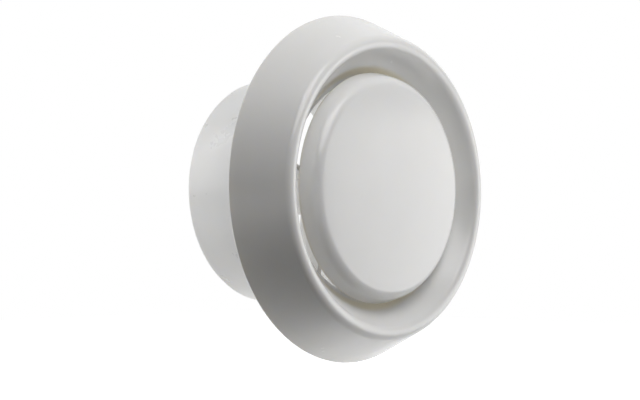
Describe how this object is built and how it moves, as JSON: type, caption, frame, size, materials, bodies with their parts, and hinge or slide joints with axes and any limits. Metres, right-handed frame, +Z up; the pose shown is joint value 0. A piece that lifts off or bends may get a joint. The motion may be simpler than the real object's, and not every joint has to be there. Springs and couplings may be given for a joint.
{
  "type": "round adjustable disc valve for a ventilation duct",
  "caption": "Round white ventilation disc valve with a rolled-lip ring, a screw-adjusted closing disc and a twist-lock wall collar.",
  "frame": {"origin": "where the valve's axis meets the wall or ceiling surface, which is also the middle of the screw-hole circle", "axes": "Y is the valve's axis: -Y points into the room and +Y into the duct; +Z is up and +X is to the right as seen from the room"},
  "size_m": [0.15, 0.075, 0.15],
  "materials": {
    "ring_plastic": "glossy white moulded plastic",
    "disc_plastic": "glossy white moulded plastic",
    "collar_plastic": "glossy white moulded plastic",
    "zinc_steel": "bright zinc-plated steel",
    "seal_foam": "matt closed-cell foam",
    "seal_rubber": "matt black rubber"
  },
  "bodies": {
    "mounting_collar": {"mounting_collar": "collar_plastic", "wall_seal": "seal_foam"},
    "valve_ring": {"valve_ring": "ring_plastic", "hub_nut": "zinc_steel", "lock_washer": "zinc_steel", "lock_nut": "zinc_steel", "spigot_seal": "seal_rubber"},
    "stop_washer": {"stop_washer": "zinc_steel"},
    "valve_disc": {"valve_disc": "disc_plastic", "spindle": "zinc_steel", "disc_washer": "zinc_steel", "disc_nut": "zinc_steel", "end_clip": "zinc_steel"}
  },
  "joints": [
    {"name": "ring_twist", "type": "hinge", "parent": "mounting_collar", "child": "valve_ring", "pos_m": [0, 0, 0], "axis": [0, -1, 0], "range_deg": [0, 18]},
    {"name": "disc_lift", "type": "slide", "parent": "valve_ring", "child": "stop_washer", "axis": [0, -1, 0], "range_m": [-0.00325, 0.009]},
    {"name": "disc_turn", "type": "hinge", "parent": "stop_washer", "child": "valve_disc", "pos_m": [0, 0, 0], "axis": [0, -1, 0], "range_deg": [-936, 2592]}
  ],
  "couplings": [
    {"joint": "disc_lift", "follows": "disc_turn", "m_per_rad": 0.00019894}
  ]
}
